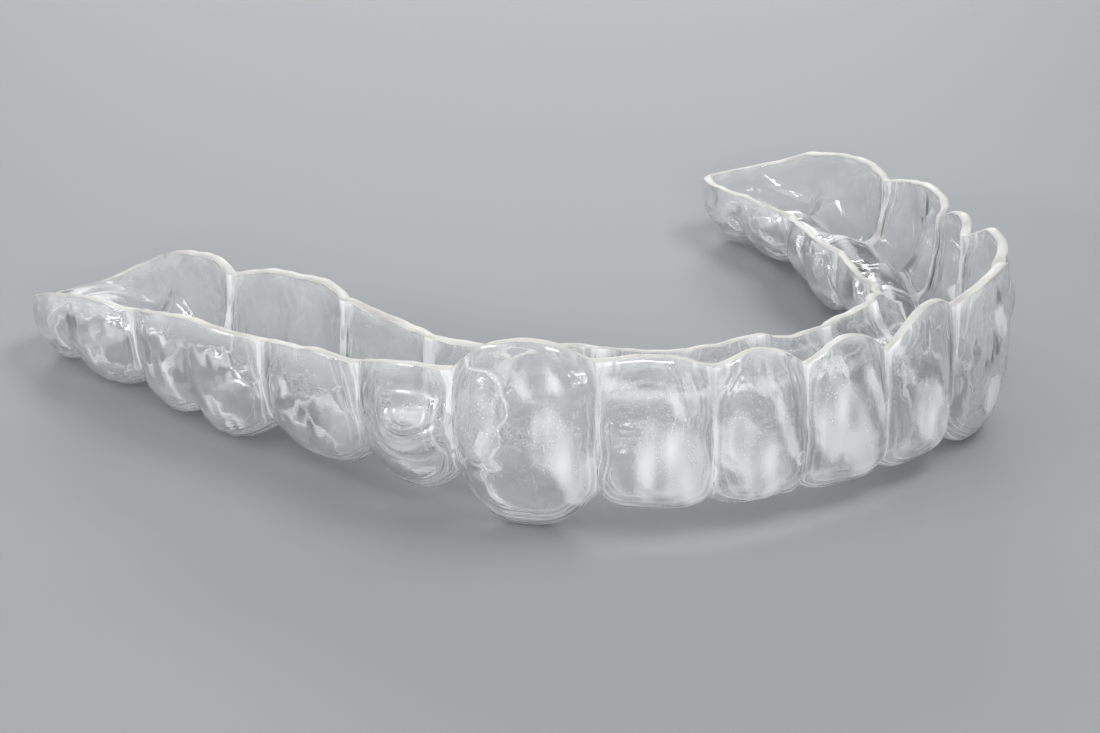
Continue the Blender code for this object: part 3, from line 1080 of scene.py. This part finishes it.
@dataclass(frozen=True)
class AlignerSheet:
    """The aligner: its sections lofted along the arch, thickened to one sheet with a rounded cut edge."""

    wall: float = 0.65  # thickness of the sheet
    fold_radius: float = 0.40  # how softly two wells meet
    front: tuple[float, float] = (0.0, 0.0)  # the arch line at the midline
    arms: tuple[Arm, Arm] = (LEFT_ARM, RIGHT_ARM)
    pads: tuple[Pad, ...] = (CANINE_PAD, PREMOLAR_PAD, FAR_PREMOLAR_PAD)
    markings: Markings = Markings()
    # heights of a wall's three rows, as shares of the way from the biting rows to the trim
    wall_shares: tuple[float, ...] = (1.0, 0.60, 0.25)
    # share of a molar's groove that each biting row takes; the middle one lies in the long groove already
    groove_lift: tuple[float, ...] = (1.0, 1.0, 1.0, 0.0, 1.0, 1.0, 1.0)
    # how far each row draws in there, as a share of the groove's depth
    groove_draw: tuple[float, ...] = (0.0, 0.25, 0.5, 0.6, 0.3, 0.0, 0.0, 0.0, 0.3, 0.6, 0.5, 0.25, 0.0)
    end_power: float = 2.8  # how square a back end is from above
    end_side_power: float = 5.0  # how late the floor rises to it
    end_rise: tuple[float, ...] = (2.0, 1.6, 1.35, 1.25, 1.35, 1.6, 2.0)  # biting rows there, over the tip
    end_inset_power: float = 2.5  # how late the rows fall short of it
    end_inset: tuple[float, ...] = (0.0, 0.35, 0.7, 1.05, 1.4, 1.7, 1.9, 1.7, 1.4, 1.05, 0.7, 0.35, 0.0)
    pitch: float = 0.22  # aimed distance between mesh columns
    spread: float = 1.35  # more than 1 crowds the columns towards the folds
    end_columns: int = 26  # mesh columns of each back end
    bend_rows: tuple[int, ...] = (8, 8, 7, 5, 5, 5, 5, 5, 5, 7, 8, 8)  # mesh rows from each row to the next
    ridge_rows: tuple[int, int] = (4, 8)  # rows of the biting edges on the cheek and tongue sides
    bulge: float = 0.12  # how far the cut edge rounds out
    lip_levels: int = 4  # mesh rows across the cut edge
    hand: Waves = Waves(0.05, 1.7, 5)  # unevenness of the hand-held trim
    hand_apart: float = 40.0  # how far apart the two edges take it from, so that they differ
    # the broad waves that drawing leaves in each face, and the finer ones on them
    outer_waves: tuple[Waves, Waves] = (Waves(0.030, 3.2, 11), Waves(0.007, 0.9, 12))
    inner_waves: tuple[Waves, Waves] = (Waves(0.030, 3.2, 13), Waves(0.007, 0.9, 14))
    creases: Facets = Facets(0.16, 3.8, 31)
    rough: Waves = Waves(0.02, 0.9, 32)
    rough_edge: float = 0.3  # distance over which the roughness sets in

    def build(self, formed: FormedPlastic, cut: CutEdge) -> bpy.types.Object:
        """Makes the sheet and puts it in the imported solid's place.

        Args:
            formed: finish of the formed faces.
            cut: finish of the cut edge.

        Returns:
            The dressed sheet.
        """
        grid = self._grid()
        columns, rows = grid.along.shape
        index = np.arange(columns * rows).reshape(columns, rows)
        # the cheek and tongue walls meet at the back ends
        for end in (0, columns - 1):
            index[end, rows // 2 + 1 :] = index[end, : rows // 2][::-1]
        used, index = np.unique(index, return_inverse=True)
        index = index.reshape(columns, rows)
        points = grid.points.reshape(-1, 3)[used]
        quads = np.stack([index[:-1, :-1], index[:-1, 1:], index[1:, 1:], index[1:, :-1]], axis=-1)
        quads = quads.reshape(-1, 4)
        normals = self._normals(points, quads)
        # the outside of the floor looks down
        if normals[index[columns // 2, rows // 2], 2] > 0.0:
            normals = -normals
            quads = quads[:, ::-1]

        contacts = [arm.along(number, 1.0) for arm in self.arms for number in range(len(arm.wells) - 1)]
        ridges = [sum(self.bend_rows[:row]) for row in self.ridge_rows]
        fields = self.markings.lay_out(grid, normals[index], [*contacts, 0.0], ridges)
        values = {name: field.reshape(-1)[used] for name, field in fields.items()}
        outside, within = self._faces(points, normals, values)
        loop = np.concatenate([index[:, 0], index[-2:0:-1, -1]])
        lip_corners, lip = self._lip(outside, within, loop, self._out_of_edge(points, normals, index)[loop])
        corners = np.concatenate([outside, within, lip_corners])
        faces = np.concatenate([quads, quads[:, ::-1] + len(points), lip])

        mesh = bpy.data.meshes.new("aligner_sheet")
        mesh.from_pydata((corners * MM).tolist(), [], faces.tolist())
        finish = np.full(len(faces), Finish.FORMED.value, dtype=np.int32)
        finish[2 * len(quads) :] = Finish.CUT.value
        mesh.materials.append(formed.material())
        mesh.materials.append(cut.material())
        mesh.polygons.foreach_set("material_index", finish)
        mesh.polygons.foreach_set("use_smooth", np.ones(len(faces), dtype=bool))
        self._carry(mesh, values, loop)
        mesh.update()

        sheet = bpy.data.objects.new("aligner_sheet", mesh)
        bpy.context.scene.collection.objects.link(sheet)
        self._seat(mesh)
        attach(sheet, BODY)
        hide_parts(NODE)
        return sheet

    def _grid(self) -> Grid:
        """Lofts the middle surface.

        Returns:
            Its points, pads and all.
        """
        rows = self._bend(np.array(self._sections()))
        along, height = rows[..., 0], rows[..., 2]
        cheek = slice(0, rows.shape[1] // 2)
        for pad in self.pads:
            rows[:, cheek, 1] += pad.lift(along[:, cheek], height[:, cheek])
        point, outward = ArchLine(self.arms[0].knots, self.front, self.arms[1].knots).place(along)
        points = np.concatenate([point + outward * rows[..., 1:2], height[..., None]], axis=-1)
        return Grid(along, height, points)

    def _sections(self) -> list[np.ndarray]:
        """Sets up the sections of all wells from the left end to the right end.

        Returns:
            One array for each column, of rows by (along, across, height).
        """
        order = [(self.arms[0], number) for number in reversed(range(len(self.arms[0].wells)))]
        order += [(self.arms[1], number) for number in range(len(self.arms[1].wells))]
        sections: list[np.ndarray] = []
        for arm, number in order:
            columns = self._well_sections(arm, number)
            sections += columns[1:] if sections else columns
        return sections

    def _well_sections(self, arm: Arm, number: int) -> list[np.ndarray]:
        """Sections of one well, in order from left to right.

        Args:
            arm: the arm it is on.
            number: the well, counted back from the midline.

        Returns:
            One array for each column, of rows by (along, across, height).
        """
        other = self.arms[1] if arm is self.arms[0] else self.arms[0]
        mesial = arm.wells[number - 1] if number else other.wells[0]
        distal = arm.wells[number + 1] if number + 1 < len(arm.wells) else None
        before, after = (distal, mesial) if arm.side is Side.LEFT else (mesial, distal)
        count = max(3, round(arm.wells[number].length / 2.0 / self.pitch))
        open_half = [1.0 - (i / count) ** self.spread for i in range(count + 1)]
        turn = math.pi / 2.0 / self.end_columns
        end_half = [math.sin(turn * i) ** (2.0 / self.end_power) for i in range(self.end_columns, -1, -1)]
        back = end_half if before is None else open_half
        ahead = end_half if after is None else open_half
        places = [-value for value in back] + list(reversed(ahead[:-1]))
        return [self._section(arm, number, place, before if place < 0 else after) for place in places]

    def _section(self, arm: Arm, number: int, place: float, neighbour: Well | None) -> np.ndarray:
        """One section of a well.

        Args:
            arm: the arm it is on.
            number: the well, counted back from the midline.
            place: from -1 at its left to 1 at its right.
            neighbour: the next well on that side, or None at the back end.

        Returns:
            Rows by (along, across, height).
        """
        well = arm.wells[number]
        form = well.form
        side = arm.side.value
        half = well.length / 2.0
        reach = abs(place)
        along = np.full(len(form.across), arm.along(number, 0.0) + place * half)
        soft = reach if neighbour is None else self._soft((1.0 - reach) * half, half)
        shake = self.hand.at(np.array([[along[0], 0.0], [along[0], self.hand_apart]]))
        cheek_trim = arm.cheek_trim.height(number, place * side, soft) + shake[0]
        tongue_trim = arm.tongue_trim.height(number, place * side, soft) + shake[1]
        across = form.spread()
        rise = well.tip + np.array(form.rise)
        behind = (place * side - form.groove_place) * half
        dent = form.groove * math.exp(-((behind / form.groove_width) ** 2))
        rise = rise + dent * np.array(self.groove_lift)
        across = across - dent * np.array(self.groove_draw) * np.sign(across)
        if neighbour is None:
            across = across * max(0.0, 1.0 - reach**self.end_power) ** (1.0 / self.end_power)
            weight = reach**self.end_side_power
            rise = rise * (1.0 - weight) + (well.tip + np.array(self.end_rise)) * weight
            mean = (cheek_trim + tongue_trim) / 2.0
            cheek_trim += (mean - cheek_trim) * weight
            tongue_trim += (mean - tongue_trim) * weight
            along = along - side * reach**self.end_inset_power * np.array(self.end_inset)
        else:
            near = (well, neighbour)
            near_across = sum(w.form.spread(w.form.pinch) for w in near) / 2.0
            near_rise = sum(w.tip + w.form.relief * np.array(w.form.rise) + w.form.notch for w in near) / 2.0
            in_plan = soft**form.plan_power
            in_side = soft**form.side_power
            across = across * (1.0 - in_plan) + near_across * in_plan
            rise = rise * (1.0 - in_side) + near_rise * in_side
        walls = len(self.wall_shares)
        height = np.zeros(len(form.across))
        height[walls:-walls] = rise
        for row, share in enumerate(self.wall_shares):
            height[row] = rise[0] + (cheek_trim - rise[0]) * share
            height[-1 - row] = rise[-1] + (tongue_trim - rise[-1]) * share
        return np.stack([along, across, height], axis=-1)

    def _soft(self, distance: float, half: float) -> float:
        """How near a section is to its contact, rounded so that two wells meet in a fold and not in a crack.

        Args:
            distance: how far it is from the contact.
            half: half the well's length.

        Returns:
            1 at the contact and 0 in the middle of the well.
        """
        gap, most = (math.hypot(value, self.fold_radius) - self.fold_radius for value in (distance, half))
        return 1.0 - gap / most

    def _bend(self, sections: np.ndarray) -> np.ndarray:
        """Runs a smooth curve through the rows of each section.

        Args:
            sections: columns by rows by (along, across, height).

        Returns:
            The same with the finer mesh rows.
        """
        first = 2.0 * sections[:, :1] - sections[:, 1:2]
        last = 2.0 * sections[:, -1:] - sections[:, -2:-1]
        rows = np.concatenate([first, sections, last], axis=1)
        out = []
        # a cubic from each row to the next, which leaves a row along the line between its two neighbours
        for i, steps in enumerate(self.bend_rows):
            before, here, ahead, beyond = (rows[:, i + k] for k in range(4))
            for f in (j / steps for j in range(steps)):
                out.append(
                    here
                    + 0.5 * f * (ahead - before)
                    + f**2 * (before - 2.5 * here + 2.0 * ahead - 0.5 * beyond)
                    + f**3 * (1.5 * (here - ahead) + 0.5 * (beyond - before))
                )
        out.append(rows[:, -2])
        return np.stack(out, axis=1)

    @staticmethod
    def _normals(points: np.ndarray, quads: np.ndarray) -> np.ndarray:
        """Averages the directions of the faces round each point.

        Args:
            points: corners of the mesh.
            quads: its faces, by four corner numbers.

        Returns:
            One direction of length 1 for each point.
        """
        normals = np.zeros_like(points)
        face = np.cross(points[quads[:, 2]] - points[quads[:, 0]], points[quads[:, 3]] - points[quads[:, 1]])
        for corner in range(4):
            np.add.at(normals, quads[:, corner], face)
        return normals / np.maximum(np.linalg.norm(normals, axis=1, keepdims=True), TINY)

    def _faces(
        self, points: np.ndarray, normals: np.ndarray, values: dict[str, np.ndarray]
    ) -> tuple[np.ndarray, np.ndarray]:
        """Sets the two faces of the sheet half its thickness off the middle, with what makes them uneven.

        Args:
            points: the middle surface.
            normals: its directions.
            values: the fields at the points, by name.

        Returns:
            Corners of the outer and of the inner face.
        """
        half = self.wall / 2.0
        # creases go through the sheet, so they don't thin it
        creases = values["crumple"] * self.creases.at(points)
        # the printed model leaves the inside rough, but for the patch, where the outside is rough instead
        rough = self.rough.at(points)
        inside_patch, outside_patch = (
            np.clip(sign * values["patch"] / self.rough_edge, 0.0, 1.0) for sign in (1.0, -1.0)
        )
        outer = sum(waves.at(points) for waves in self.outer_waves) + creases + inside_patch * rough
        inner = sum(waves.at(points) for waves in self.inner_waves) - creases + outside_patch * rough
        return points + normals * (half + outer)[:, None], points - normals * (half + inner)[:, None]

    @staticmethod
    def _out_of_edge(points: np.ndarray, normals: np.ndarray, index: np.ndarray) -> np.ndarray:
        """Finds the directions out of the cut edge.

        Args:
            points: the middle surface.
            normals: its directions.
            index: the points' numbers, in columns by rows.

        Returns:
            One direction of length 1 for each point on the edge, and none for the others.
        """
        tip = np.zeros_like(points)
        for edge, row in ((0, 1), (-1, -2)):
            np.add.at(tip, index[:, edge], points[index[:, edge]] - points[index[:, row]])
        tip -= normals * np.sum(tip * normals, axis=1, keepdims=True)
        return tip / np.maximum(np.linalg.norm(tip, axis=1, keepdims=True), TINY)

    def _lip(
        self, outside: np.ndarray, within: np.ndarray, loop: np.ndarray, tip: np.ndarray
    ) -> tuple[np.ndarray, np.ndarray]:
        """Rounds the cut edge over from the outer face to the inner one.

        Args:
            outside: corners of the outer face.
            within: corners of the inner face, in the same order.
            loop: corner numbers along the cut edge.
            tip: directions out of the edge there.

        Returns:
            The corners between the two faces, and the edge's faces by the numbers that all corners get.
        """
        count = len(outside)
        mid = (outside[loop] + within[loop]) / 2.0
        reach = (outside[loop] - within[loop]) / 2.0
        added = []
        levels = [loop]
        for level in range(self.lip_levels):
            turn = math.pi * (0.5 - (level + 1) / (self.lip_levels + 1))
            added.append(mid + reach * math.sin(turn) + tip * self.bulge * math.cos(turn))
            levels.append(np.arange(len(loop)) + 2 * count + level * len(loop))
        levels.append(loop + count)
        strips = [
            np.stack([near, far, np.roll(far, -1), np.roll(near, -1)], axis=-1)
            for near, far in zip(levels[:-1], levels[1:])
        ]
        lip = np.concatenate(strips)
        # the cut edge looks out of the plastic too
        corners = np.concatenate([outside, within, *added])
        middle = strips[len(strips) // 2]
        looks = np.cross(
            corners[middle[:, 2]] - corners[middle[:, 0]],
            corners[middle[:, 3]] - corners[middle[:, 1]],
        )
        if np.sum(looks * tip) < 0.0:
            lip = lip[:, ::-1]
        return np.concatenate(added), lip

    def _carry(self, mesh: bpy.types.Mesh, values: dict[str, np.ndarray], loop: np.ndarray) -> None:
        """Gives the mesh the fields that its finish reads.

        Args:
            mesh: the sheet, with the corners of its outer face first, then the inner face's, then the lip's.
            values: the fields at the points of the middle surface, by name.
            loop: numbers of the points along the cut edge.
        """
        count = len(values["cloud"])
        inside = np.repeat([0.0, 1.0, 0.0], [count, count, self.lip_levels * len(loop)])
        stored = {
            name: np.concatenate([value, value, *([value[loop]] * self.lip_levels)])
            for name, value in values.items()
        }
        for name, value in {**stored, "inside": inside}.items():
            mesh.attributes.new(name, "FLOAT", "POINT").data.foreach_set("value", value.astype(np.float32))

    @staticmethod
    def _seat(mesh: bpy.types.Mesh) -> None:
        """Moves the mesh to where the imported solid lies: the same middle, and the same lowest point.

        Args:
            mesh: the sheet.
        """
        low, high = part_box(NODE)
        corners = np.empty(len(mesh.vertices) * 3)
        mesh.vertices.foreach_get("co", corners)
        corners = corners.reshape(-1, 3)
        least, most = corners.min(axis=0), corners.max(axis=0)
        shift = [(low[axis] + high[axis]) / 2.0 - (least[axis] + most[axis]) / 2.0 for axis in (0, 1)]
        mesh.transform(Matrix.Translation(Vector((*shift, low[2] - least[2]))))


@dataclass(frozen=True)
class Lamp:
    """A soft lamp that looks at the aligner."""

    name: str
    place: tuple[float, float, float]  # metres
    size: tuple[float, float]  # width and height, in metres
    brightness: float  # how bright its face looks, where white paper in the room is about 1

    def hang(self) -> None:
        """Hangs the lamp in its place."""
        data = bpy.data.lights.new(self.name, "AREA")
        data.shape = "RECTANGLE"
        data.size, data.size_y = self.size
        data.energy = self.brightness * math.pi * self.size[0] * self.size[1]
        lamp = bpy.data.objects.new(self.name, data)
        lamp.location = self.place
        lamp.rotation_mode = "QUATERNION"
        lamp.rotation_quaternion = (-Vector(self.place)).to_track_quat("-Z", "Y")
        lamp.visible_camera = False
        bpy.context.scene.collection.objects.link(lamp)


@dataclass(frozen=True)
class Studio:
    """A plain pale floor, soft lamps, and the camera at the photograph's angle."""

    floor: PaintedFloor = PaintedFloor()
    floor_size: float = 6.0  # metres
    world_colour: str = "f4f7fa"
    horizon_light: float = 0.22
    zenith_light: float = 0.74
    lamps: tuple[Lamp, ...] = (
        Lamp("overhead", (0.155, -0.05, 0.31), (0.20, 0.13), 5.5),
        Lamp("front", (-0.14, -0.31, 0.10), (0.14, 0.05), 21.0),
        Lamp("back", (0.14, 0.32, 0.12), (0.26, 0.04), 13.0),
        Lamp("left", (-0.32, 0.02, 0.12), (0.18, 0.035), 18.0),
    )
    bounces: int = 18  # light crosses a dozen faces of clear sheet on its way along an arm
    azimuth: float = 26.74  # degrees that the view turns from +Y towards +X
    elevation: float = 21.73  # degrees that it looks down
    distance: float = 141.5
    target: tuple[float, float, float] = (-5.78, -6.10, 4.0)
    focal: float = 76.55
    sensor: float = 36.0
    clip: tuple[float, float] = (0.005, 20.0)  # nearest and farthest that it sees, in metres

    def build(self) -> None:
        """Lays the floor and sets up the light and the camera."""
        self._lay_floor()
        self._light_room()
        for lamp in self.lamps:
            lamp.hang()
        self._set_camera()
        scene = bpy.context.scene
        scene.view_settings.view_transform = "Standard"
        scene.cycles.max_bounces = self.bounces
        scene.cycles.transmission_bounces = self.bounces

    def _lay_floor(self) -> None:
        """Lays the floor under the aligner."""
        half = self.floor_size / 2.0
        mesh = bpy.data.meshes.new("floor")
        corners = [(-half, -half, 0.0), (half, -half, 0.0), (half, half, 0.0), (-half, half, 0.0)]
        mesh.from_pydata(corners, [], [(0, 1, 2, 3)])
        mesh.materials.append(self.floor.material())
        floor = bpy.data.objects.new("floor", mesh)
        bpy.context.scene.collection.objects.link(floor)

    def _light_room(self) -> None:
        """Lights the room softly from all round, more from above, so that the clear edges stand out."""
        world = bpy.data.worlds.new("soft_room")
        world.use_nodes = True
        tree = world.node_tree
        tree.nodes.clear()
        direction = add_node(tree, "TexCoord", out="Generated")
        up = add_node(tree, "SeparateXYZ", links={"Vector": direction}, out="Z")
        levels = {"To Min": self.horizon_light, "To Max": self.zenith_light}
        strength = add_node(tree, "MapRange", levels, {"Value": up})
        light = add_node(tree, "Background", {"Color": linear(self.world_colour)}, {"Strength": strength})
        add_node(tree, "OutputWorld", links={"Surface": light})
        bpy.context.scene.world = world

    def _set_camera(self) -> None:
        """Puts the camera where the photograph was taken from."""
        az, el = math.radians(self.azimuth), math.radians(self.elevation)
        ahead = Vector((math.sin(az) * math.cos(el), math.cos(az) * math.cos(el), -math.sin(el)))
        data = bpy.data.cameras.new("camera")
        data.lens = self.focal
        data.sensor_width = self.sensor
        data.clip_start, data.clip_end = self.clip
        camera = bpy.data.objects.new("camera", data)
        camera.location = (Vector(self.target) - ahead * self.distance) * MM
        camera.rotation_mode = "QUATERNION"
        camera.rotation_quaternion = ahead.to_track_quat("-Z", "Y")
        bpy.context.scene.collection.objects.link(camera)
        bpy.context.scene.camera = camera


def main() -> None:
    """Builds the sheet, then the studio round it."""
    logging.basicConfig(level=logging.INFO, format="%(name)s: %(message)s")
    sheet = AlignerSheet().build(FormedPlastic(), CutEdge())
    LOG.info("%s: %d faces", sheet.name, len(sheet.data.polygons))
    Studio().build()
    LOG.info("studio: floor, lamps and camera")


if __name__ == "__main__":
    main()
